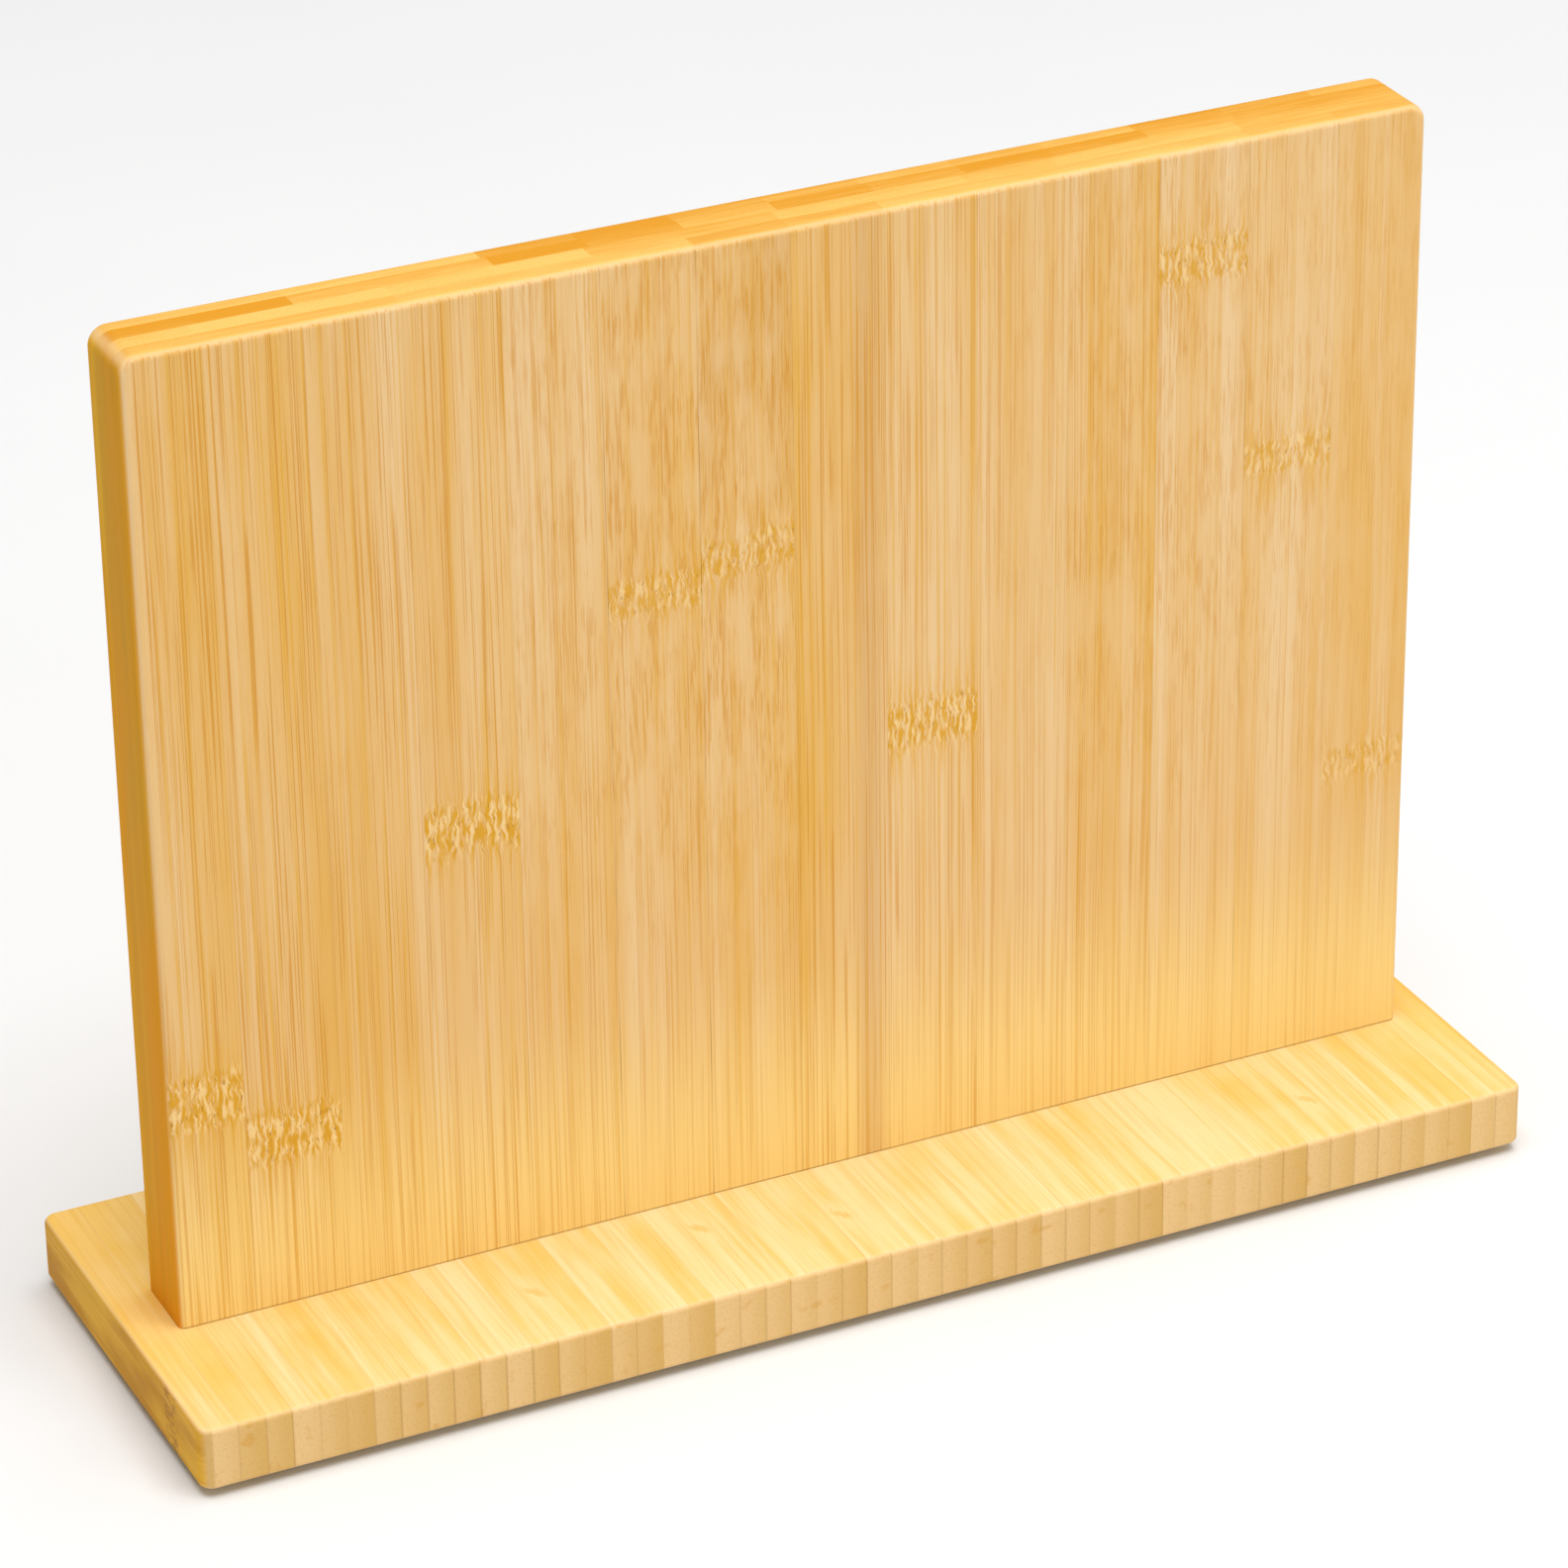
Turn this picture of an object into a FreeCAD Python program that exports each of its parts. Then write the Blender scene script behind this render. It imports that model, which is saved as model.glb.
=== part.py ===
import FreeCAD, Part

import os

# A double-sided magnetic knife rack of laminated bamboo, in millimetres.
#
# An upright panel stands along the middle of a flat base board. The panel is
# two flat-pressed boards glued back to back. Each board is two layers, a face
# and a core, and each layer is a row of vertical bamboo strips glued edge to
# edge. Disc magnets lie in pockets bored into both boards from the glue line
# between them, so only a thin skin of wood covers them. The base is a
# side-pressed board: narrow strips on edge that run from front to rear. Screws
# through the base hold the panel, and four rubber feet carry the rack.
#
# +X runs along the rack, +Y from front to rear, +Z up. The origin is under the
# middle of the base, on the surface that the feet stand on.

Vector = FreeCAD.Vector

# Rubber feet
FOOT_HEIGHT = 2.0
FOOT_TOP_RADIUS = 6.0
FOOT_SOLE_RADIUS = 5.7
FOOT_RIM_RADIUS = 0.5
FOOT_INSET = 16.0  # from the base's ends and long sides to a foot's centre

# Base board
BASE_LENGTH = 300.0
BASE_DEPTH = 92.0
BASE_THICKNESS = 14.0
BASE_CORNER_RADIUS = 3.0
BASE_EDGE_RADIUS = 1.2
BASE_STRIP_WIDTH = 5.7
BASE_FIRST_STRIP = 2.3  # the board is sawn from a longer one, part-way through a strip
BASE_STRIPS_PER_NODE = 8

# Upright panel
PANEL_LENGTH = 280.0
PANEL_HEIGHT = 212.0
LAYER_THICKNESS = 4.5
BOARD_THICKNESS = 2 * LAYER_THICKNESS
PANEL_CORNER_RADIUS = 4.0
PANEL_EDGE_RADIUS = 1.5
LAYER_STRIP_COUNT = 14
FRONT_FIRST_STRIP = 16.4  # the board is sawn part-way through its first strip
REAR_SEAM_SHIFT = 1.5  # the rear board's seams stand this far along from the front's

# Disc magnets, one in each whole strip at each of two heights
MAGNET_RADIUS = 7.5
MAGNET_THICKNESS = 6.0
LOWER_ROW_HEIGHT = 62.0  # above the base board
UPPER_ROW_HEIGHT = 150.0
FIRST_MAGNET_STRIP = 1
MAGNETS_PER_ROW = 12

# Countersunk wood screws up through the base into the glue line between the boards
SCREW_LENGTH = 45.0
SCREW_RADIUS = 2.0
SCREW_HEAD_RADIUS = 4.0
SCREW_TIP_LENGTH = 4.0
SCREW_TIP_RADIUS = 0.25  # the point is drawn, not ground sharp
SCREW_RECESS = 0.5  # how far the head lies inside the base's underside
SCREW_PITCH = 72.0
SCREW_COUNT = 4
CLEARANCE_HOLE_RADIUS = 2.25
DRIVE_WIDTH = 0.9
DRIVE_SPAN = 4.2
DRIVE_DEPTH = 1.6

# Levels
BASE_UNDERSIDE = FOOT_HEIGHT
BASE_TOP = BASE_UNDERSIDE + BASE_THICKNESS
PANEL_TOP = BASE_TOP + PANEL_HEIGHT
SCREW_SEAT = BASE_UNDERSIDE + SCREW_RECESS

STRIP_WIDTH = (PANEL_LENGTH - FRONT_FIRST_STRIP) / (LAYER_STRIP_COUNT - 1)
TOLERANCE = 1e-4

UP = Vector(0, 0, 1)
REARWARD = Vector(0, 1, 0)
ORIGIN = Vector(0, 0, 0)


def box_between(low, high):
    """A box from its lowest corner to its highest."""
    return Part.makeBox(high.x - low.x, high.y - low.y, high.z - low.z, low)


def edges_where(shape, test):
    """The edges that lie wholly where test(box) is true of their bounding box."""
    return [edge for edge in shape.Edges if test(edge.BoundBox)]


def at_height(box, height):
    return abs(box.ZMin - height) < TOLERANCE and abs(box.ZMax - height) < TOLERANCE


def at_depth(box, depth):
    return abs(box.YMin - depth) < TOLERANCE and abs(box.YMax - depth) < TOLERANCE


def seams(start, first_width, width, end):
    """The places along X of a board's two ends and of every glue seam between."""
    places = [start, start + first_width]
    while places[-1] + width < end - TOLERANCE:
        places.append(places[-1] + width)
    return places + [end]


def sawn_between(board, left, right):
    """The one strip of a board that lies between two places along X."""
    box = board.BoundBox
    slab = box_between(Vector(left, box.YMin - 1, box.ZMin - 1),
                       Vector(right, box.YMax + 1, box.ZMax + 1))
    strip = board.common(slab)
    if len(strip.Solids) != 1:
        raise ValueError("a strip came out as %d solids" % len(strip.Solids))
    return strip.Solids[0]


def strips_of(board, places):
    return [sawn_between(board, left, right) for left, right in zip(places, places[1:])]


def screw_places():
    first = -SCREW_PITCH * (SCREW_COUNT - 1) / 2
    return [Vector(first + SCREW_PITCH * index, 0, SCREW_SEAT) for index in range(SCREW_COUNT)]


def screw_blank(place):
    """A countersunk screw without its cross recess, head down, point up."""
    head_height = SCREW_HEAD_RADIUS - SCREW_RADIUS
    shank_length = SCREW_LENGTH - head_height - SCREW_TIP_LENGTH
    head = Part.makeCone(SCREW_HEAD_RADIUS, SCREW_RADIUS, head_height, ORIGIN, UP)
    shank = Part.makeCylinder(SCREW_RADIUS, shank_length, Vector(0, 0, head_height), UP)
    tip = Part.makeCone(SCREW_RADIUS, SCREW_TIP_RADIUS, SCREW_TIP_LENGTH,
                        Vector(0, 0, SCREW_LENGTH - SCREW_TIP_LENGTH), UP)
    blank = head.fuse([shank, tip]).removeSplitter().Solids[0]
    blank.translate(place)
    return blank


def screw(place):
    blank = screw_blank(place)
    half_span = DRIVE_SPAN / 2
    half_width = DRIVE_WIDTH / 2
    along = box_between(Vector(-half_span, -half_width, -1), Vector(half_span, half_width, DRIVE_DEPTH))
    across = box_between(Vector(-half_width, -half_span, -1), Vector(half_width, half_span, DRIVE_DEPTH))
    cross = along.fuse(across)
    cross.translate(place)
    return blank.cut(cross).Solids[0]


def countersunk_hole(place):
    """The base's hole: a countersink that opens at the underside, and a clearance hole above."""
    mouth_radius = SCREW_HEAD_RADIUS + SCREW_RECESS
    countersink_depth = mouth_radius - CLEARANCE_HOLE_RADIUS
    mouth = Vector(place.x, place.y, BASE_UNDERSIDE)
    countersink = Part.makeCone(mouth_radius, CLEARANCE_HOLE_RADIUS, countersink_depth, mouth, UP)
    clearance = Part.makeCylinder(CLEARANCE_HOLE_RADIUS, BASE_THICKNESS + 1, mouth, UP)
    return countersink.fuse(clearance)


def base_board():
    """The whole base, with rounded corners and edges and its screw holes."""
    half_length = BASE_LENGTH / 2
    half_depth = BASE_DEPTH / 2
    board = box_between(Vector(-half_length, -half_depth, BASE_UNDERSIDE),
                        Vector(half_length, half_depth, BASE_TOP))
    corners = edges_where(board, lambda box: box.ZLength > BASE_THICKNESS - 1)
    board = board.makeFillet(BASE_CORNER_RADIUS, corners)
    rims = edges_where(board, lambda box: at_height(box, BASE_UNDERSIDE) or at_height(box, BASE_TOP))
    board = board.makeFillet(BASE_EDGE_RADIUS, rims)
    for place in screw_places():
        board = board.cut(countersunk_hole(place))
    return board


def magnet_places(height):
    """Centres of a row's magnets along X, midway between the two boards' strip centres."""
    first_centre = FRONT_FIRST_STRIP + STRIP_WIDTH * (FIRST_MAGNET_STRIP - 0.5) + REAR_SEAM_SHIFT / 2
    first = first_centre - PANEL_LENGTH / 2
    return [Vector(first + STRIP_WIDTH * index, 0, BASE_TOP + height) for index in range(MAGNETS_PER_ROW)]


def magnet(place, side):
    """A disc against the panel's glue line, on the front (side -1) or rear (side 1)."""
    return Part.makeCylinder(MAGNET_RADIUS, MAGNET_THICKNESS, place, REARWARD * side)


def magnet_row(height, side):
    return [magnet(place, side) for place in magnet_places(height)]


def panel_board(side):
    """The panel's front (side -1) or rear (side 1) half, before it is parted into strips.

    It is rounded round its outer face, and bored for magnets and screws from its glue face.
    """
    outer_face = side * BOARD_THICKNESS
    half_length = PANEL_LENGTH / 2
    board = box_between(Vector(-half_length, min(0, outer_face), BASE_TOP),
                        Vector(half_length, max(0, outer_face), PANEL_TOP))
    corners = edges_where(board, lambda box: at_height(box, PANEL_TOP) and box.YLength > BOARD_THICKNESS - 1)
    board = board.makeFillet(PANEL_CORNER_RADIUS, corners)
    rim = edges_where(board, lambda box: at_depth(box, outer_face) and not at_height(box, BASE_TOP))
    board = board.makeFillet(PANEL_EDGE_RADIUS, rim)
    pockets = magnet_row(LOWER_ROW_HEIGHT, side) + magnet_row(UPPER_ROW_HEIGHT, side)
    pilot_holes = [screw_blank(place) for place in screw_places()]
    for bore in pockets + pilot_holes:
        board = board.cut(bore)
    return board


def layer_strips(board, side, inner_depth):
    """The strips of one layer of a board, from inner_depth outwards from the glue line."""
    near = side * inner_depth
    far = side * (inner_depth + LAYER_THICKNESS)
    half_length = PANEL_LENGTH / 2
    slab = box_between(Vector(-half_length - 1, min(near, far), BASE_TOP - 1),
                       Vector(half_length + 1, max(near, far), PANEL_TOP + 1))
    first_width = FRONT_FIRST_STRIP
    if side > 0:
        first_width += REAR_SEAM_SHIFT
    places = seams(-half_length, first_width, STRIP_WIDTH, half_length)
    return strips_of(board.common(slab), places)


def base_strips():
    places = seams(-BASE_LENGTH / 2, BASE_FIRST_STRIP, BASE_STRIP_WIDTH, BASE_LENGTH / 2)
    return strips_of(base_board(), places)


def foot(x_side, y_side):
    """A round rubber foot, narrower and rounded at its sole."""
    place = Vector(x_side * (BASE_LENGTH / 2 - FOOT_INSET), y_side * (BASE_DEPTH / 2 - FOOT_INSET), 0)
    pad = Part.makeCone(FOOT_SOLE_RADIUS, FOOT_TOP_RADIUS, FOOT_HEIGHT, place, UP)
    sole_rim = edges_where(pad, lambda box: at_height(box, 0))
    return pad.makeFillet(FOOT_RIM_RADIUS, sole_rim)


def write_node(name, solids):
    """One STEP file for one node, checked solid by solid."""
    for solid in solids:
        if not solid.isValid() or solid.Volume <= 0:
            raise ValueError("bad solid in " + name)
    shape = solids[0] if len(solids) == 1 else Part.makeCompound(solids)
    shape.exportStep("parts/%s.step" % name)


def write_numbered(name, solids, per_node):
    """Numbered nodes of one or more neighbouring solids each."""
    for number, start in enumerate(range(0, len(solids), per_node), start=1):
        write_node("%s_%02d" % (name, number), solids[start:start + per_node])


def write_panel():
    for place, side in (("front", -1), ("rear", 1)):
        board = panel_board(side)
        write_numbered(place + "_strip", layer_strips(board, side, LAYER_THICKNESS), 1)
        write_node(place + "_core_strips", layer_strips(board, side, 0))
        write_node("magnets_%s_lower" % place, magnet_row(LOWER_ROW_HEIGHT, side))
        write_node("magnets_%s_upper" % place, magnet_row(UPPER_ROW_HEIGHT, side))


def write_base():
    write_numbered("base_strips", base_strips(), BASE_STRIPS_PER_NODE)
    write_node("panel_screws", [screw(place) for place in screw_places()])


def write_feet():
    for depth_name, y_side in (("front", -1), ("rear", 1)):
        for end_name, x_side in (("left", -1), ("right", 1)):
            write_node("foot_%s_%s" % (depth_name, end_name), [foot(x_side, y_side)])


os.makedirs("parts", exist_ok=True)
write_panel()
write_base()
write_feet()
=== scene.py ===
import math
import random

import bpy
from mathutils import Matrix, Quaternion, Vector


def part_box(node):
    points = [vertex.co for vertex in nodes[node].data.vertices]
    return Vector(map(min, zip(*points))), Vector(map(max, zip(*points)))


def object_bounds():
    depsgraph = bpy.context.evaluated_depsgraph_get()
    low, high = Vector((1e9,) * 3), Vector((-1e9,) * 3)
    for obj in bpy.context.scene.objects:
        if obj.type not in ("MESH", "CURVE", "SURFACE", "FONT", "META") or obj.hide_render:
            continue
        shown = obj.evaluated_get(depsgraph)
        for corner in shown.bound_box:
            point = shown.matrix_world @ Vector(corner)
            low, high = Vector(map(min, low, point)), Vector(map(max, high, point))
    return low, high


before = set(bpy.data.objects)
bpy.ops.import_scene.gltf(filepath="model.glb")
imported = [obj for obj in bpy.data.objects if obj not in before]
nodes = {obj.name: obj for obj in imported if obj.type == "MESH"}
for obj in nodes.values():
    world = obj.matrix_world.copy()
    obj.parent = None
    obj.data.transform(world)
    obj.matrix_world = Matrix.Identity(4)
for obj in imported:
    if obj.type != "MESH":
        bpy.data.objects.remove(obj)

MM = 0.001
cad_low, cad_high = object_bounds()

# The panel's strips stand on end: their fibres run along Z and their wide faces look along Y. The
# base's strips lie on edge: their fibres run along Y and their cut ends look along Y.
PANEL_STRIP_COUNT = 14
BASE_GROUP_COUNT = 7
FRONT_STRIPS = [f"front_strip_{number:02d}" for number in range(1, PANEL_STRIP_COUNT + 1)]
REAR_STRIPS = [f"rear_strip_{number:02d}" for number in range(1, PANEL_STRIP_COUNT + 1)]
BASE_GROUPS = [f"base_strips_{number:02d}" for number in range(1, BASE_GROUP_COUNT + 1)]

# Millimetres.
LAYER_THICKNESS = 4.5
BASE_STRIP_WIDTH = 5.7
BASE_FIRST_STRIP = 2.3
PANEL_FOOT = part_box(FRONT_STRIPS[0])[0].z / MM
PANEL_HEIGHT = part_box(FRONT_STRIPS[0])[1].z / MM - PANEL_FOOT

# Bamboo, as linear colours.
FACE_PALE = (0.850, 0.600, 0.320, 1)
FACE_TAN = (0.805, 0.495, 0.185, 1)
FACE_AMBER = (0.780, 0.405, 0.035, 1)
# The gold below is painted warm bounce light from the base's top, near the panel's foot.
FACE_PAINTED_BOUNCE_GOLD = (1.000, 0.740, 0.270, 1)
FACE_PINK = (0.660, 0.390, 0.160, 1)
LINE_AMBER = (0.760, 0.390, 0.030, 1)
LINE_BROWN = (0.660, 0.285, 0.030, 1)
NODE_CREAM = (0.960, 0.700, 0.320, 1)
NODE_AMBER = (0.720, 0.360, 0.025, 1)
NODE_BROWN = (0.360, 0.150, 0.025, 1)
END_PALE = (0.785, 0.480, 0.125, 1)
END_AMBER = (0.640, 0.275, 0.020, 1)
# On the sides, these ochres are partly the side grain's own colour and partly painted shade; the pale
# one is painted light on the right-hand sides.
SIDE_OCHRE = (0.880, 0.480, 0.035, 1)
SIDE_ORANGE = (0.870, 0.350, 0.012, 1)
SIDE_BROWN = (0.640, 0.290, 0.014, 1)
SIDE_PAINTED_LIT_PALE = (0.780, 0.500, 0.170, 1)
# The cream below is a painted highlight on the rounded edges.
EDGE_HIGHLIGHT_CREAM = (0.900, 0.640, 0.360, 1)
# The seam brown below also paints the shade line at the panel's foot.
SEAM_AND_FOOT_SHADE_BROWN = (0.320, 0.140, 0.022, 1)
BASE_PALE = (0.880, 0.680, 0.360, 1)
BASE_YELLOW = (0.840, 0.540, 0.150, 1)
BASE_AMBER = (0.780, 0.420, 0.060, 1)
# The bright gold below is painted light on the rear of the base's two ends.
BASE_GOLD_PAINTED_LIGHT = (1.000, 0.560, 0.060, 1)
BASE_END_PALE = (0.835, 0.565, 0.258, 1)
BASE_END_OLIVE = (0.700, 0.432, 0.130, 1)

# Everything else, as linear colours.
RUBBER_BLACK = (0.018, 0.018, 0.019, 1)
RUBBER_DUSTY = (0.040, 0.039, 0.038, 1)
NICKEL = (0.62, 0.60, 0.56, 1)
ZINC = (0.58, 0.57, 0.54, 1)
FLOOR_GREY = (0.79, 0.79, 0.79, 1)
FLOOR_PALE = (0.81, 0.81, 0.81, 1)

# How far apart in the noise two strips lie whose seeds differ by one.
STRIP_SHIFT = 17.3
RING_SHIFT = 7.7

# How much of the colour beneath it each mark on the panel's faces covers, from 0 to 1.
CORD_SHARE = 0.57
HAIR_SHARE = 0.75
DASH_SHARE = 0.60
CLEAR_SHARE = 0.40
# The next share is painted warm bounce light near the panel's foot, not a mark.
PAINTED_FOOT_BOUNCE_SHARE = 0.90
TAIL_SHARE = 0.55
RING_AMBER_SHARE = 0.72
RING_CREAM_SHARE = 0.50
RING_BROWN_SHARE = 0.45

# A thin satin oil reflects less than bare plastic or varnish.
OIL_SPECULAR = 0.06
OIL_ROUGHNESS = 0.46
BAMBOO_RELIEF = 0.02 * MM
RUBBER_RELIEF = 0.04 * MM

# Studio and camera. Distances are in metres and angles in degrees.
FLOOR_REACH = 12.0
WORLD_STRENGTH = 0.30
CAMERA_AZIMUTH = -25.06
CAMERA_ELEVATION = 27.57
CAMERA_ROLL = -0.82
CAMERA_DISTANCE = 1.3278
CAMERA_AIM_SHIFT = (-0.0027, -0.0041, -0.0093)
CAMERA_LENS = 150.7


class Graph:
    """The nodes of one material. Every call takes plain numbers or other calls' results."""

    def __init__(self, name):
        self.material = bpy.data.materials.new(name)
        self.material.use_nodes = True
        self.tree = self.material.node_tree
        self.tree.nodes.clear()

    def node(self, kind, **settings):
        made = self.tree.nodes.new(kind)
        for setting, value in settings.items():
            setattr(made, setting, value)
        return made

    def feed(self, socket, value):
        if isinstance(value, bpy.types.NodeSocket):
            self.tree.links.new(value, socket)
        else:
            socket.default_value = value

    def calc(self, operation, *values):
        made = self.node("ShaderNodeMath", operation=operation)
        for socket, value in zip(made.inputs, values):
            self.feed(socket, value)
        return made.outputs[0]

    def add(self, first, second):
        return self.calc("ADD", first, second)

    def subtract(self, first, second):
        return self.calc("SUBTRACT", first, second)

    def times(self, first, second):
        return self.calc("MULTIPLY", first, second)

    def size(self, value):
        return self.calc("ABSOLUTE", value)

    def ramp(self, value, start, end):
        """0 at start, 1 at end, smooth between them."""
        made = self.node("ShaderNodeMapRange", interpolation_type="SMOOTHSTEP")
        self.feed(made.inputs["Value"], value)
        self.feed(made.inputs["From Min"], start)
        self.feed(made.inputs["From Max"], end)
        return made.outputs["Result"]

    def point(self, x, y, z):
        made = self.node("ShaderNodeCombineXYZ")
        for socket, value in zip(made.inputs, (x, y, z)):
            self.feed(socket, value)
        return made.outputs[0]

    def parts(self, vector):
        made = self.node("ShaderNodeSeparateXYZ")
        self.feed(made.inputs[0], vector)
        return list(made.outputs)

    def noise(self, x, y, z, detail=2.0, roughness=0.5):
        made = self.node("ShaderNodeTexNoise")
        self.feed(made.inputs["Vector"], self.point(x, y, z))
        made.inputs["Scale"].default_value = 1.0
        made.inputs["Detail"].default_value = detail
        made.inputs["Roughness"].default_value = roughness
        return made.outputs["Fac"]

    def sway(self, x, y, z, reach):
        """A smooth wander of about reach to either side of zero."""
        return self.times(self.subtract(self.noise(x, y, z, detail=1.0), 0.5), self.times(reach, 2.0))

    def chance(self, value):
        """A fixed random number from 0 to 1 for each whole number."""
        made = self.node("ShaderNodeTexWhiteNoise", noise_dimensions="1D")
        self.feed(made.inputs["W"], value)
        return made.outputs["Value"]

    def mix(self, share, first, second):
        """One colour over another. A Mix node's inputs 6 and 7 are its two colours."""
        made = self.node("ShaderNodeMix", data_type="RGBA")
        self.feed(made.inputs[0], share)
        self.feed(made.inputs[6], first)
        self.feed(made.inputs[7], second)
        return made.outputs[2]

    def blend(self, share, first, second):
        """One number faded into another. A Mix node's inputs 2 and 3 are its two numbers."""
        made = self.node("ShaderNodeMix", data_type="FLOAT")
        self.feed(made.inputs[0], share)
        self.feed(made.inputs[2], first)
        self.feed(made.inputs[3], second)
        return made.outputs[0]

    def steps(self, value, levels):
        """The level that value, from 0 to 1, falls on."""
        made = self.node("ShaderNodeValToRGB")
        made.color_ramp.interpolation = "CONSTANT"
        stops = made.color_ramp.elements
        while len(stops) < len(levels):
            stops.new(0.5)
        for number, level in enumerate(levels):
            stops[number].position = number / len(levels)
            stops[number].color = (level, level, level, 1)
        self.feed(made.inputs[0], value)
        return made.outputs[0]

    def look(self, name):
        """A piece's own number, from its custom property."""
        made = self.node("ShaderNodeAttribute", attribute_type="OBJECT", attribute_name=name)
        return made.outputs["Fac"]

    def place(self):
        """The point in the row frame in millimetres, as three sockets."""
        coordinates = self.node("ShaderNodeTexCoord")
        scaled = self.node("ShaderNodeVectorMath", operation="SCALE")
        self.feed(scaled.inputs[0], coordinates.outputs["Object"])
        scaled.inputs["Scale"].default_value = 1.0 / MM
        return self.parts(scaled.outputs[0])

    def fibres(self, run, fine, slow, layer, detail=2.0):
        """Noise that is drawn out along the fibres.

        run is the place across the fibres, a shift that sets strips apart, and the place along them.
        There are fine changes in a millimetre across the fibres and slow changes in one along them.
        layer keeps one pattern apart from another, or is the place through the strip's thickness.
        """
        across, shift, along = run
        place_across = self.add(self.times(across, fine), shift)
        return self.noise(place_across, layer, self.times(along, slow), detail)

    def facing(self):
        """How far the surface looks along X, Y and Z, each from 0 to 1."""
        coordinates = self.node("ShaderNodeTexCoord")
        return [self.size(part) for part in self.parts(coordinates.outputs["Normal"])]

    def looks(self, facing_part):
        """1 on the surfaces that look along that part's axis, and 0 on the others."""
        return self.ramp(facing_part, 0.5, 0.8)

    def surface(self, colour, roughness, height=None, relief=0.0):
        """Ends the material in a Principled shader. The bump is as deep as relief, in metres."""
        shader = self.node("ShaderNodeBsdfPrincipled")
        output = self.node("ShaderNodeOutputMaterial")
        self.feed(shader.inputs["Base Color"], colour)
        self.feed(shader.inputs["Roughness"], roughness)
        if height is not None:
            bump = self.node("ShaderNodeBump")
            bump.inputs["Strength"].default_value = 1.0
            bump.inputs["Distance"].default_value = relief
            self.feed(bump.inputs["Height"], height)
            self.feed(shader.inputs["Normal"], bump.outputs[0])
        self.feed(output.inputs["Surface"], shader.outputs[0])
        return shader

    def bamboo(self, colour, roughness, height):
        """Bamboo under a thin satin oil."""
        shader = self.surface(colour, roughness, height, BAMBOO_RELIEF)
        shader.inputs["Specular IOR Level"].default_value = OIL_SPECULAR
        return self.material


def node_mark(g, across, rise, seed, half_height):
    """The ragged ring that a culm's joint leaves across a strip.

    rise is the distance above the ring in millimetres. Returns its cream, amber and brown shares.
    """
    offset = g.times(seed, RING_SHIFT)
    drift = g.sway(g.add(g.times(across, 0.11), offset), 3.0, 0.0, g.times(half_height, 0.4))
    ragged = g.sway(g.add(g.times(across, 1.3), offset), 9.0, 0.0, g.times(half_height, 0.7))
    level = g.add(rise, drift)
    zone = g.ramp(g.size(g.add(level, ragged)), half_height, g.times(half_height, 0.6))
    lean = g.sway(g.times(level, 0.5), g.add(g.times(across, 0.3), offset), 4.0, 0.7)
    flames = g.noise(g.add(g.times(g.add(across, lean), 1.3), offset), g.times(level, 0.22), 5.0)
    cream = g.times(zone, g.ramp(flames, 0.53, 0.60))
    amber = g.times(zone, g.ramp(flames, 0.51, 0.42))
    specks = g.noise(g.add(g.times(across, 1.7), offset), g.times(level, 0.5), 11.0)
    brown = g.times(zone, g.ramp(specks, 0.62, 0.70))
    return cream, amber, brown


def paint_edge_highlight(g, colour, facing, strength):
    """A painted highlight: the rounded edges are painted paler cream, the level edges most."""
    flat = g.calc("MAXIMUM", facing[0], g.calc("MAXIMUM", facing[1], facing[2]))
    lit_edges = g.times(g.ramp(flat, 0.98, 0.78), g.ramp(facing[2], -0.3, 0.4))
    return g.mix(g.times(lit_edges, strength), colour, EDGE_HIGHLIGHT_CREAM)


def bundle_dots(g, x, y):
    """The dots that the fibre bundles show on the upright strips' cut ends."""
    return g.ramp(g.noise(g.times(x, 1.8), g.times(y, 1.8), 0.0), 0.50, 0.68)


def panel_end_grain(g, x, y, tone, dots):
    """The cut ends of upright strips, a little more amber towards the bark side of each layer."""
    cloud = g.noise(g.times(x, 0.07), g.times(y, 0.9), 21.0)
    tone = g.add(tone, g.times(g.subtract(cloud, 0.5), 0.6))
    bark = g.calc("FRACT", g.calc("DIVIDE", y, LAYER_THICKNESS))
    tone = g.add(tone, g.times(g.subtract(bark, 0.5), 0.2))
    end = g.mix(g.ramp(tone, 0.0, 1.0), END_PALE, END_AMBER)
    return g.mix(g.times(dots, 0.22), end, LINE_BROWN)


def paint_right_side_lit(g, x, side):
    """Painted light: the sides at the right-hand end are painted paler than the ones at the left."""
    right_hand = g.ramp(x, -1.0, 1.0)
    return g.mix(g.times(right_hand, 0.6), side, SIDE_PAINTED_LIT_PALE)


def panel_side_grain(g, x, y, z):
    """The panel's upright sides, where the four layers show as faint bands, in an ochre that is partly
    side grain and partly painted shade.
    """
    layer = g.noise(3.0, g.times(y, 0.22), g.times(z, 0.003), detail=1.0)
    warm = g.noise(g.times(y, 0.08), g.times(z, 0.014), 31.0)
    grain = g.noise(3.0, g.times(y, 1.4), g.times(z, 0.015))
    side = g.mix(g.times(g.ramp(layer, 0.35, 0.65), 0.6), SIDE_OCHRE, SIDE_BROWN)
    warm = g.add(g.times(g.ramp(warm, 0.42, 0.62), 0.5), g.times(g.ramp(z, 190.0, 60.0), 0.45))
    side = g.mix(warm, side, SIDE_ORANGE)
    side = paint_right_side_lit(g, x, side)
    return g.mix(g.times(g.ramp(grain, 0.5, 0.7), 0.45), side, SIDE_BROWN)


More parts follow.
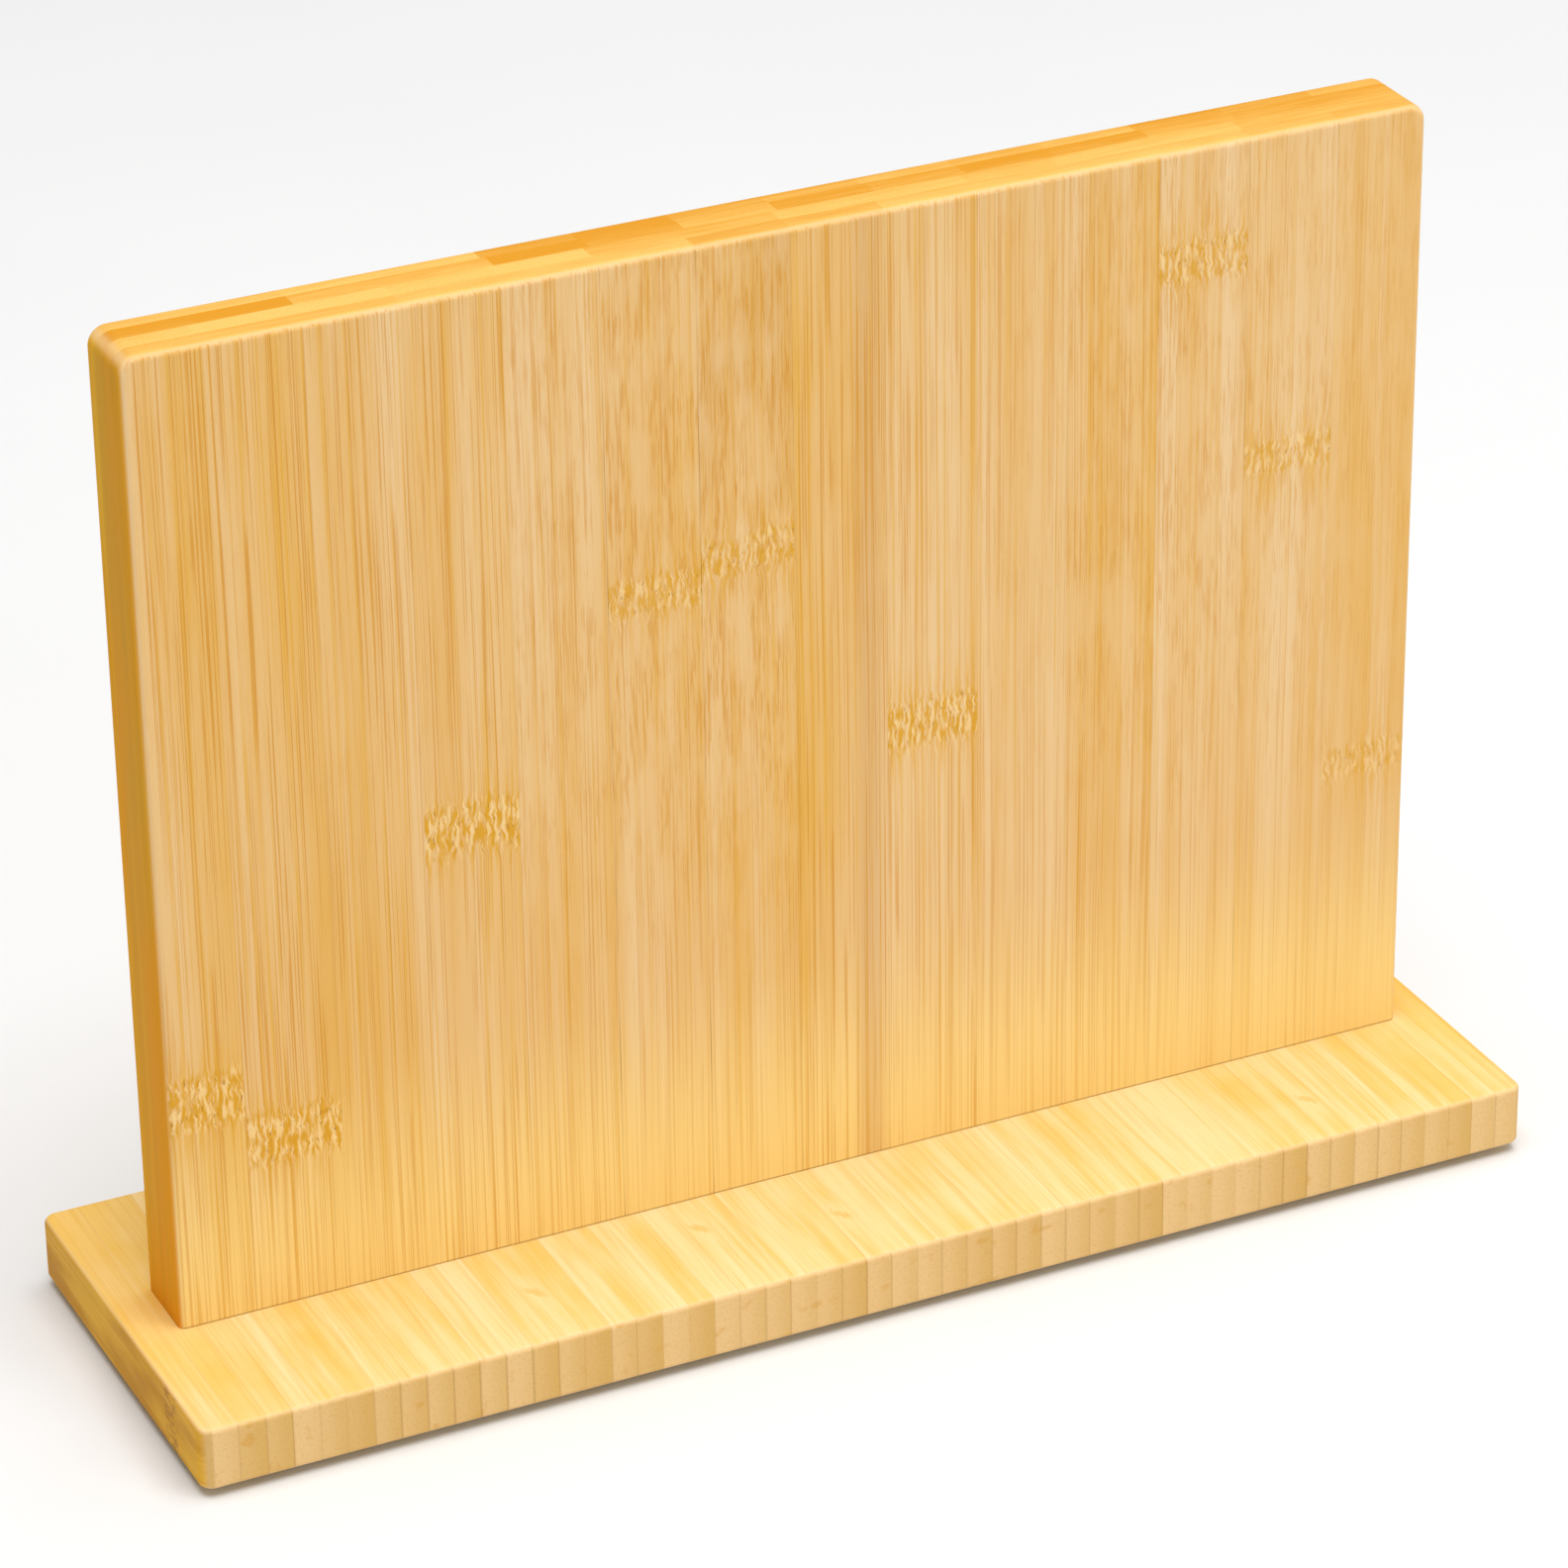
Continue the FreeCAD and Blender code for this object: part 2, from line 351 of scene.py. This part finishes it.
def face_fibres(g, run, y, climb):
    """The lines on a strip's face: long amber cords, thin brown hairs, and short dashes.

    Returns their shares, and the share of the clear islands that lie between the dashes. The dashes
    and islands fade out towards the foot, where the hairs are fainter too.
    """
    flecks = g.times(g.look("flecks"), g.ramp(climb, 0.10, 0.60))
    cords = g.fibres(run, 1.5, 0.004, g.times(y, 0.8), detail=1.0)
    cord_life = g.fibres(run, 0.3, 0.016, 50.0)
    cords = g.times(g.ramp(cords, 0.50, 0.66), g.ramp(cord_life, 0.34, 0.56))
    hairs = g.fibres(run, 2.6, 0.008, g.times(y, 2.0), detail=1.0)
    hair_life = g.fibres(run, 0.5, 0.022, 70.0)
    hairs = g.times(g.ramp(hairs, 0.52, 0.62), g.ramp(hair_life, 0.34, 0.54))
    dashes = g.fibres(run, 3.0, 0.15, g.times(y, 1.5), detail=1.0)
    island = g.fibres(run, 0.20, 0.05, 90.0)
    clear = g.times(g.ramp(island, 0.42, 0.66), flecks)
    dashes = g.times(g.times(g.ramp(dashes, 0.50, 0.66), flecks), g.ramp(island, 0.72, 0.40))
    cords = g.times(cords, g.look("lines"))
    hairs = g.times(g.times(hairs, g.look("lines")), g.subtract(1.0, g.times(clear, 0.7)))
    hairs = g.times(hairs, g.blend(g.ramp(climb, 0.0, 0.35), 0.5, 1.0))
    return cords, hairs, dashes, clear


def face_tone(g, run, x, z, climb, share, rise, seed):
    """A face's colour under its lines: slow bands across the strip, a cloud that runs down it, and
    painted warm bounce light towards the foot.
    """
    bands = g.fibres(run, 0.17, 0.004, 1.0, detail=1.0)
    streaks = g.fibres(run, 0.42, 0.012, 20.0, detail=1.0)
    cloud = g.noise(g.times(x, 0.03), g.times(seed, 2.0), g.times(z, 0.014))
    amber = g.blend(share, g.look("amber_left"), g.look("amber_right"))
    amber = g.add(amber, g.blend(climb, g.look("amber_foot"), g.look("amber_top")))
    amber = g.add(amber, g.times(g.subtract(cloud, 0.5), 0.5))
    amber = g.add(amber, g.times(g.subtract(streaks, 0.5), 0.3))
    colour = g.mix(g.ramp(bands, 0.26, 0.74), FACE_PALE, FACE_TAN)
    colour = g.mix(g.ramp(amber, 0.0, 1.0), colour, FACE_AMBER)
    # Painted warm bounce light: the face turns gold towards the panel's foot, as if lit by the base's
    # top.
    colour = g.mix(g.times(g.ramp(climb, 0.28, 0.0), PAINTED_FOOT_BOUNCE_SHARE), colour, FACE_PAINTED_BOUNCE_GOLD)
    pink = g.times(g.look("pink"), g.ramp(g.size(g.subtract(share, 0.80)), 0.24, 0.04))
    above_node = g.times(g.ramp(rise, 3.0, 14.0), g.ramp(cloud, 0.3, 0.6))
    pink = g.add(pink, g.times(g.look("pink_top"), above_node))
    return g.mix(pink, colour, FACE_PINK)


def ring_over(g, colour, run, x, rise, seed):
    """Lays a strip's node over its face, with darker lines for a little way above and below it.

    Returns the colour, and the cream and brown shares, which the relief needs.
    """
    strength = g.look("node_strength")
    tails = g.fibres(run, 1.2, 0.03, 33.0)
    tails = g.times(g.ramp(tails, 0.48, 0.62), g.ramp(g.size(rise), 16.0, 4.0))
    colour = g.mix(g.times(tails, g.times(strength, TAIL_SHARE)), colour, LINE_AMBER)
    cream, amber, brown = node_mark(g, x, rise, seed, g.look("node_reach"))
    colour = g.mix(g.times(amber, g.times(strength, RING_AMBER_SHARE)), colour, NODE_AMBER)
    colour = g.mix(g.times(cream, g.times(strength, RING_CREAM_SHARE)), colour, NODE_CREAM)
    colour = g.mix(g.times(brown, g.times(strength, RING_BROWN_SHARE)), colour, NODE_BROWN)
    return colour, cream, brown


def glue_lines_and_foot_shade_over(g, colour, share, z, seed):
    """Lays on the glue lines between strips, broken here and there, and a painted shade line along the
    panel's foot where it meets the base.
    """
    edge_gap = g.size(g.subtract(g.size(g.subtract(share, 0.5)), 0.5))
    seam = g.times(g.ramp(g.times(edge_gap, g.look("width")), 0.20, 0.04), g.look("seam"))
    seam = g.times(seam, g.ramp(g.noise(seed, 3.0, g.times(z, 0.035)), 0.35, 0.60))
    colour = g.mix(seam, colour, SEAM_AND_FOOT_SHADE_BROWN)
    # Painted shade: a thin dark line where the panel's foot meets the base.
    painted_foot_shade = g.ramp(z, PANEL_FOOT + 0.45, PANEL_FOOT + 0.15)
    return g.mix(g.times(painted_foot_shade, 0.6), colour, SEAM_AND_FOOT_SHADE_BROWN)


def panel_face_material():
    """Flat-pressed strips: lines up the wide faces, dots on the top edge, ochre sides."""
    g = Graph("panel_bamboo_oiled")
    x, y, z = g.place()
    facing = g.facing()
    seed = g.look("seed")
    share = g.calc("DIVIDE", g.subtract(x, g.look("left_edge")), g.look("width"))
    rise = g.subtract(z, g.look("node_height"))
    climb = g.calc("DIVIDE", g.subtract(z, PANEL_FOOT), PANEL_HEIGHT)

    # The fibres wander a little, and twist near the node.
    near_node = g.ramp(g.size(rise), 10.0, 3.0)
    wander = g.sway(seed, 2.0, g.times(z, 0.010), 0.6)
    twist = g.times(near_node, g.sway(g.times(x, 0.5), g.times(z, 0.25), seed, 1.3))
    run = (g.add(x, g.add(wander, twist)), g.times(seed, STRIP_SHIFT), z)

    cords, hairs, dashes, clear = face_fibres(g, run, y, climb)
    colour = face_tone(g, run, x, z, climb, share, rise, seed)
    colour = g.mix(g.times(clear, CLEAR_SHARE), colour, FACE_PALE)
    colour = g.mix(g.times(cords, CORD_SHARE), colour, LINE_AMBER)
    colour = g.mix(g.times(hairs, HAIR_SHARE), colour, LINE_BROWN)
    colour = g.mix(g.times(dashes, DASH_SHARE), colour, LINE_BROWN)
    colour, cream, brown = ring_over(g, colour, run, x, rise, seed)
    colour = glue_lines_and_foot_shade_over(g, colour, share, z, seed)

    end = panel_end_grain(g, x, y, g.look("end_tone"), bundle_dots(g, x, y))
    colour = g.mix(g.looks(facing[0]), colour, panel_side_grain(g, x, y, z))
    colour = g.mix(g.looks(facing[2]), colour, end)
    # Painted highlight along the rounded edges.
    colour = paint_edge_highlight(g, colour, facing, 0.4)

    height = g.subtract(g.times(cream, 0.6), g.add(g.add(cords, dashes), g.add(hairs, brown)))
    roughness = g.add(OIL_ROUGHNESS, g.times(g.add(cords, hairs), 0.10))
    roughness = g.add(roughness, g.times(g.looks(facing[0]), 0.25))
    return g.bamboo(colour, roughness, height)


def panel_core_material(second_strip, tones):
    """The core strips show only their cut ends on the top edge and their sides.

    second_strip is the first full-width strip of the face layer whose seams this core layer shares.
    """
    g = Graph("panel_bamboo_core")
    x, y, z = g.place()
    facing = g.facing()
    low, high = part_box(second_strip)
    width = (high.x - low.x) / MM
    first_edge = low.x / MM - width
    number = g.calc("DIVIDE", g.subtract(x, first_edge), width)
    tone = g.steps(g.calc("DIVIDE", number, len(tones)), tones)
    dots = bundle_dots(g, x, y)
    end = panel_end_grain(g, x, y, tone, dots)
    colour = g.mix(g.looks(facing[0]), end, panel_side_grain(g, x, y, z))
    # Painted highlight along the rounded edges.
    colour = paint_edge_highlight(g, colour, facing, 0.4)
    roughness = g.add(0.62, g.times(dots, 0.12))
    return g.bamboo(colour, roughness, g.times(dots, -1.0))


def base_fibres(g, run, z):
    """The amber cords and hairs along the base's strips."""
    cords = g.ramp(g.fibres(run, 1.0, 0.020, g.times(z, 0.8), detail=1.0), 0.50, 0.72)
    hairs = g.ramp(g.fibres(run, 2.4, 0.030, g.times(z, 2.0), detail=1.0), 0.56, 0.72)
    return cords, hairs


def base_top(g, run, x, y, tone, cords, hairs):
    """The top and the underside: each strip in its own tone, and golden towards the base's ends, with
    painted light at the rear of each end.
    """
    streaks = g.fibres(run, 0.30, 0.022, 9.0)
    glow = g.noise(g.times(x, 0.05), g.times(y, 0.05), 5.0)
    yellow = g.add(g.times(tone, 0.55), g.times(g.subtract(streaks, 0.40), 1.8))
    yellow = g.add(yellow, g.times(g.ramp(g.size(x), 80.0, 150.0), 0.30))
    top = g.mix(g.ramp(yellow, 0.0, 1.0), BASE_PALE, BASE_YELLOW)
    top = g.mix(g.times(g.ramp(glow, 0.35, 0.7), 0.4), top, BASE_PALE)
    # Painted light: the rear of the base's two ends is painted brighter and more golden, lifting the
    # panel's shade there.
    lit_outer_rear = g.times(g.ramp(g.size(x), 130.0, 148.0), g.ramp(y, -50.0, 0.0))
    top = g.mix(g.times(lit_outer_rear, 0.45), top, BASE_GOLD_PAINTED_LIGHT)
    top = g.mix(g.times(cords, 0.28), top, BASE_AMBER)
    return g.mix(g.times(hairs, 0.28), top, BASE_AMBER)


def knots_over(g, top, x, y, number, share):
    """Lays the small slanting node marks on the base's top, each in a pale halo along its strip."""
    side_step = g.times(g.subtract(share, 0.5), 5.0)
    for end_of_base in ("front", "rear"):
        own = g.calc("COMPARE", number, g.look(f"{end_of_base}_mark_strip"), 0.5)
        rise = g.subtract(y, g.look(f"{end_of_base}_mark_y"))
        rise = g.add(rise, g.add(side_step, g.sway(g.times(x, 0.8), g.times(y, 0.4), 8.0, 2.0)))
        knot = g.times(g.ramp(g.size(rise), 2.2, 0.2), g.ramp(g.size(side_step), 2.2, 0.6))
        halo = g.times(g.ramp(g.size(rise), 11.0, 1.0), g.ramp(g.size(side_step), 2.5, 1.5))
        top = g.mix(g.times(g.times(own, halo), 0.55), top, BASE_PALE)
        top = g.mix(g.times(g.times(own, knot), 0.50), top, BASE_AMBER)
    return top


def base_cut_ends(g, x, z, share, tone):
    """The cut ends on the long edges, with bundle dots and a few brown stains."""
    bark = g.ramp(share, 0.15, 0.95)
    tone = g.add(g.times(tone, 0.65), g.times(bark, 0.30))
    end = g.mix(g.ramp(tone, 0.0, 1.0), BASE_END_PALE, BASE_END_OLIVE)
    dots = g.ramp(g.noise(g.times(x, 1.6), g.times(z, 1.6), 0.0), 0.48, 0.70)
    end = g.mix(g.times(dots, 0.20), end, SIDE_BROWN)
    stain = g.ramp(g.noise(g.times(x, 0.16), g.times(z, 0.2), 3.0), 0.62, 0.72)
    return g.mix(g.times(stain, 0.35), end, SIDE_BROWN)


def base_sides(g, x, y, z):
    """The outer strips' sides, at the base's two ends, with a node mark each, in an ochre that is partly
    side grain and partly painted shade.
    """
    grain = g.noise(5.0, g.times(z, 1.2), g.times(y, 0.02))
    cloud = g.noise(5.0, g.times(z, 0.12), g.times(y, 0.03))
    side = g.mix(g.ramp(cloud, 0.35, 0.65), SIDE_OCHRE, SIDE_BROWN)
    side = g.mix(g.times(g.ramp(grain, 0.5, 0.7), 0.5), side, SIDE_BROWN)
    cream, amber, brown = node_mark(g, z, g.subtract(y, g.look("side_mark_y")), 4.0, 4.0)
    side = g.mix(g.times(g.add(amber, brown), 0.6), side, NODE_BROWN)
    side = g.mix(g.times(cream, 0.3), side, SIDE_OCHRE)
    return paint_right_side_lit(g, x, side)


def base_material():
    """Side-pressed strips on edge: fibres run front to rear, cut ends show on the long edges."""
    g = Graph("base_bamboo_oiled")
    x, y, z = g.place()
    facing = g.facing()
    left_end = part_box(BASE_GROUPS[0])[0].x / MM
    first_edge = left_end + BASE_FIRST_STRIP - BASE_STRIP_WIDTH
    place = g.calc("DIVIDE", g.subtract(x, first_edge), BASE_STRIP_WIDTH)
    number = g.calc("FLOOR", place)
    share = g.subtract(place, number)
    tone = g.chance(number)
    seam_strength = g.chance(g.add(number, 300.0))
    seed = g.times(number, 3.7)
    run = (g.add(x, g.sway(seed, 2.0, g.times(y, 0.03), 0.6)), seed, y)

    cords, hairs = base_fibres(g, run, z)
    top = base_top(g, run, x, y, tone, cords, hairs)
    top = knots_over(g, top, x, y, number, share)
    colour = g.mix(g.looks(facing[1]), top, base_cut_ends(g, x, z, share, tone))
    colour = g.mix(g.looks(facing[0]), colour, base_sides(g, x, y, z))

    # The glue lines between strips show most on the long edges, and not at all on the base's ends.
    edge_gap = g.times(g.subtract(0.5, g.size(g.subtract(share, 0.5))), BASE_STRIP_WIDTH)
    seam = g.times(g.ramp(edge_gap, 0.40, 0.05), g.blend(g.looks(facing[1]), 0.10, 0.32))
    seam = g.times(seam, g.ramp(facing[0], 0.8, 0.5))
    seam = g.times(seam, g.ramp(seam_strength, 0.0, 0.8))
    colour = g.mix(seam, colour, SEAM_AND_FOOT_SHADE_BROWN)
    # Painted highlight along the rounded edges.
    colour = paint_edge_highlight(g, colour, facing, 0.35)

    height = g.times(g.add(g.add(cords, hairs), seam), -1.0)
    roughness = g.add(OIL_ROUGHNESS, g.times(g.add(cords, hairs), 0.10))
    return g.bamboo(colour, roughness, height)


def rubber_material():
    """Matt black rubber with a fine moulded grain and a dusty bloom."""
    g = Graph("foot_rubber_black")
    x, y, z = g.place()
    grain = g.noise(g.times(x, 2.5), g.times(y, 2.5), g.times(z, 2.5), detail=4.0)
    bloom = g.noise(g.times(x, 0.4), g.times(y, 0.4), g.times(z, 0.4))
    colour = g.mix(g.ramp(bloom, 0.3, 0.7), RUBBER_BLACK, RUBBER_DUSTY)
    roughness = g.add(0.62, g.times(grain, 0.25))
    g.surface(colour, roughness, grain, RUBBER_RELIEF)
    return g.material


def metal_material(name, colour, rough_low, rough_spread, marks_per_mm):
    """Plated steel, with roughness that varies in fine marks."""
    g = Graph(name)
    spots = [g.times(part, marks_per_mm) for part in g.place()]
    marks = g.noise(*spots, detail=3.0)
    roughness = g.add(rough_low, g.times(marks, rough_spread))
    shader = g.surface(colour, roughness)
    shader.inputs["Metallic"].default_value = 1.0
    return g.material


def dress(names, material):
    """Gives these CAD nodes one material."""
    for name in names:
        slots = nodes[name].data.materials
        slots.clear()
        slots.append(material)


NO_NODE = -1000.0  # so far below the strip that no ring shows
# A strip's look. lines, flecks and seam are strengths. The four ambers deepen the tone towards each
# side, the foot and the top. pink is a rosy band near the right side, and pink_top a rosy stretch above
# the node. node_reach is half the ring's height in millimetres. end_tone is how amber the cut end is.
PLAIN_LOOK = {
    "lines": 0.5,
    "flecks": 0.2,
    "amber_left": 0.2,
    "amber_right": 0.2,
    "amber_foot": 0.0,
    "amber_top": 0.0,
    "pink": 0.0,
    "pink_top": 0.0,
    "seam": 0.15,
    "node_height": NO_NODE,
    "node_strength": 1.0,
    "node_reach": 4.5,
    "end_tone": 0.3,
}
# What sets each front strip apart, from left to right. A node's height is above the base board.
FRONT_LOOKS = [
    {"lines": 1.0, "amber_left": 0.25, "amber_right": 0.55, "node_height": 50.7, "node_reach": 7.5,
     "node_strength": 1.3, "end_tone": 0.4},
    {"lines": 1.0, "amber_left": 0.20, "amber_right": 0.50, "node_height": 39.1, "node_reach": 7.0,
     "node_strength": 1.3, "end_tone": 0.4},
    {"lines": 0.90, "amber_left": 0.35, "amber_right": 0.10, "amber_foot": 0.20, "end_tone": 0.4},
    {"lines": 0.95, "amber_left": 0.10, "amber_right": 0.40, "node_height": 98.0, "node_reach": 7.0,
     "node_strength": 1.3},
    {"lines": 0.75, "flecks": 0.6, "amber_left": 0.10, "amber_foot": 0.10},
    {"lines": 0.60, "flecks": 0.9, "amber_top": 0.15, "seam": 0.9, "node_height": 140.0,
     "node_reach": 5.0},
    {"lines": 0.60, "flecks": 1.0, "amber_left": 0.20, "amber_right": 0.35, "amber_top": 0.20,
     "pink_top": 0.50, "node_height": 144.8, "node_reach": 5.0, "end_tone": 0.6},
    {"lines": 0.95, "amber_left": 0.60, "amber_right": 0.15, "pink": 0.45, "seam": 0.4, "end_tone": 0.5},
    {"lines": 0.80, "node_height": 98.0, "node_reach": 6.5, "node_strength": 1.2},
    {"lines": 0.65, "flecks": 0.3, "amber_left": 0.10, "amber_right": 0.15},
    {"lines": 0.70, "flecks": 0.6, "amber_left": 0.20, "amber_right": 0.45},
    {"lines": 0.50, "flecks": 0.7, "amber_left": 0.0, "amber_right": 0.05, "seam": 0.3,
     "node_height": 187.8, "node_reach": 6.0},
    {"lines": 0.45, "flecks": 0.6, "amber_left": 0.25, "amber_right": 0.10, "seam": 0.3,
     "node_height": 141.0, "node_strength": 0.9, "end_tone": 0.4},
    {"lines": 0.35, "flecks": 0.4, "amber_left": 0.25, "amber_right": 0.30, "amber_top": 0.05,
     "node_height": 66.1, "node_strength": 0.7, "end_tone": 0.5},
]
# How amber the strips' cut ends are on the top edge, from left to right.
REAR_END_TONES = (0.4, 0.4, 0.3, 0.3, 0.8, 1.0, 0.7, 0.6, 0.5, 0.6, 0.5, 0.8, 0.7, 0.5)
REAR_CORE_TONES = (0.9, 1.0, 0.5, 0.5, 1.0, 0.8, 0.5, 0.8, 0.7, 0.9, 0.8, 0.6, 0.7, 0.7)
FRONT_CORE_TONES = (0.2, 0.0, 0.0, 0.2, 0.1, 0.5, 0.5, 0.3, 0.3, 0.4, 0.3, 0.3, 0.5, 0.5)
# Every strip has a seed of its own, so that no two have the same lines.
FIRST_FRONT_SEED = 1.0
FIRST_REAR_SEED = 61.0
SEED_STEP = 2.37
REAR_LOOKS_SEED = 14


def set_look(name, look, seed):
    """Writes a strip's look onto its object, where its material reads it."""
    piece = nodes[name]
    low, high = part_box(name)
    piece["seed"] = seed
    piece["left_edge"] = low.x / MM
    piece["width"] = (high.x - low.x) / MM
    for title, value in {**PLAIN_LOOK, **look}.items():
        piece[title] = float(value)
    if "node_height" in look:
        piece["node_height"] = PANEL_FOOT + look["node_height"]


def rear_look(draw, end_tone):
    """A strip of the rear face, which has the same make as the front."""
    smooth = draw.random() < 0.6
    look = {
        "lines": draw.uniform(0.6, 1.0) if smooth else draw.uniform(0.4, 0.6),
        "flecks": draw.uniform(0.1, 0.3) if smooth else draw.uniform(0.6, 0.9),
        "amber_left": draw.uniform(0.05, 0.5),
        "amber_right": draw.uniform(0.05, 0.5),
        "amber_foot": draw.uniform(0.0, 0.2),
        "amber_top": draw.uniform(0.0, 0.2),
        "pink": draw.choice((0.0, 0.0, 0.1, 0.3)),
        "seam": draw.uniform(0.2, 0.5),
        "node_strength": draw.uniform(0.7, 1.0),
        "node_reach": draw.uniform(4.0, 6.5),
        "end_tone": end_tone,
    }
    if draw.random() < 0.6:
        look["node_height"] = draw.uniform(15.0, 200.0)
    return look


def dress_panel():
    material = panel_face_material()
    for number, (name, look) in enumerate(zip(FRONT_STRIPS, FRONT_LOOKS)):
        set_look(name, look, FIRST_FRONT_SEED + number * SEED_STEP)
    draw = random.Random(REAR_LOOKS_SEED)
    for number, (name, end_tone) in enumerate(zip(REAR_STRIPS, REAR_END_TONES)):
        set_look(name, rear_look(draw, end_tone), FIRST_REAR_SEED + number * SEED_STEP)
    dress(FRONT_STRIPS + REAR_STRIPS, material)
    dress(["front_core_strips"], panel_core_material("front_strip_02", FRONT_CORE_TONES))
    dress(["rear_core_strips"], panel_core_material("rear_strip_02", REAR_CORE_TONES))


NO_MARK = -60.0  # in front of the base's edge, so that no mark shows
# The small node marks on each group of the base's strips: the strip, counted from the left end, and
# how far behind the base's middle line the mark lies, in millimetres. The first of a group is in front
# of the panel and the second behind it.
BASE_MARKS = [
    ((4, NO_MARK), (5, 22.0)),
    ((14, -27.5), (11, 31.0)),
    ((21, -20.0), (19, 17.0)),
    ((26, -28.0), (30, 36.0)),
    ((36, NO_MARK), (34, 24.0)),
    ((45, -30.0), (43, 29.0)),
    ((50, NO_MARK), (51, 15.0)),
]
SIDE_MARKS_Y = (-29.0, NO_MARK, NO_MARK, NO_MARK, NO_MARK, NO_MARK, 12.0)


def dress_base():
    for name, marks, side_mark_y in zip(BASE_GROUPS, BASE_MARKS, SIDE_MARKS_Y):
        piece = nodes[name]
        for end_of_base, (strip, mark_y) in zip(("front", "rear"), marks):
            piece[f"{end_of_base}_mark_strip"] = float(strip)
            piece[f"{end_of_base}_mark_y"] = mark_y
        piece["side_mark_y"] = side_mark_y
    dress(BASE_GROUPS, base_material())


def dress_hardware():
    feet = [name for name in nodes if name.startswith("foot_")]
    magnets = [name for name in nodes if name.startswith("magnets_")]
    dress(feet, rubber_material())
    dress(magnets, metal_material("magnet_nickel_plate", NICKEL,
                                  rough_low=0.18, rough_spread=0.15, marks_per_mm=1.2))
    dress(["panel_screws"], metal_material("screw_zinc_plate", ZINC,
                                           rough_low=0.25, rough_spread=0.25, marks_per_mm=3.0))


def make_floor():
    """A plain white floor, mottled so faintly that it never looks flat."""
    mesh = bpy.data.meshes.new("studio_floor")
    corners = [(side_x * FLOOR_REACH, side_y * FLOOR_REACH, 0)
               for side_x, side_y in ((-1, -1), (1, -1), (1, 1), (-1, 1))]
    mesh.from_pydata(corners, [], [(0, 1, 2, 3)])
    floor = bpy.data.objects.new("studio_floor", mesh)
    bpy.context.scene.collection.objects.link(floor)
    g = Graph("floor_white")
    x, y = g.place()[:2]
    mottle = g.noise(g.times(x, 0.01), g.times(y, 0.01), 0.0)
    colour = g.mix(mottle, FLOOR_GREY, FLOOR_PALE)
    g.surface(colour, roughness=0.8)
    mesh.materials.append(g.material)


def soft_light(name, place, aim, width, power):
    """A square softbox that looks at aim. Its width is in metres and its power in watts."""
    data = bpy.data.lights.new(name, "AREA")
    data.shape = "SQUARE"
    data.size = width
    data.energy = power
    light = bpy.data.objects.new(name, data)
    light.location = place
    light.rotation_mode = "QUATERNION"
    light.rotation_quaternion = (Vector(aim) - Vector(place)).to_track_quat("-Z", "Y")
    bpy.context.scene.collection.objects.link(light)


def light_studio(middle):
    world = bpy.data.worlds.new("studio")
    world.use_nodes = True
    background = world.node_tree.nodes["Background"]
    background.inputs["Color"].default_value = (1.0, 1.0, 1.0, 1)
    background.inputs["Strength"].default_value = WORLD_STRENGTH
    bpy.context.scene.world = world
    soft_light("overhead_softbox", place=(0.1, -0.4, 2.6), aim=middle, width=2.4, power=84.0)
    soft_light("front_right_softbox", place=(1.1, -1.9, 1.0), aim=middle, width=1.2, power=9.8)
    bpy.context.scene.view_settings.view_transform = "Standard"


def make_camera(middle):
    """A long lens from the front left and above, aimed a little off the object's middle."""
    azimuth = math.radians(CAMERA_AZIMUTH)
    elevation = math.radians(CAMERA_ELEVATION)
    aim = middle + Vector(CAMERA_AIM_SHIFT)
    back = Vector((
        math.sin(azimuth) * math.cos(elevation),
        -math.cos(azimuth) * math.cos(elevation),
        math.sin(elevation),
    ))
    data = bpy.data.cameras.new("camera")
    data.sensor_width = 36.0
    data.lens = CAMERA_LENS
    data.clip_start = 0.01
    data.clip_end = 100.0
    camera = bpy.data.objects.new("camera", data)
    camera.location = aim + back * CAMERA_DISTANCE
    camera.rotation_mode = "QUATERNION"
    turn = Quaternion((0, 0, 1), math.radians(CAMERA_ROLL))
    camera.rotation_quaternion = (-back).to_track_quat("-Z", "Y") @ turn
    bpy.context.scene.collection.objects.link(camera)
    bpy.context.scene.camera = camera


middle = (cad_low + cad_high) / 2
dress_panel()
dress_base()
dress_hardware()
make_floor()
light_studio(middle)
make_camera(middle)
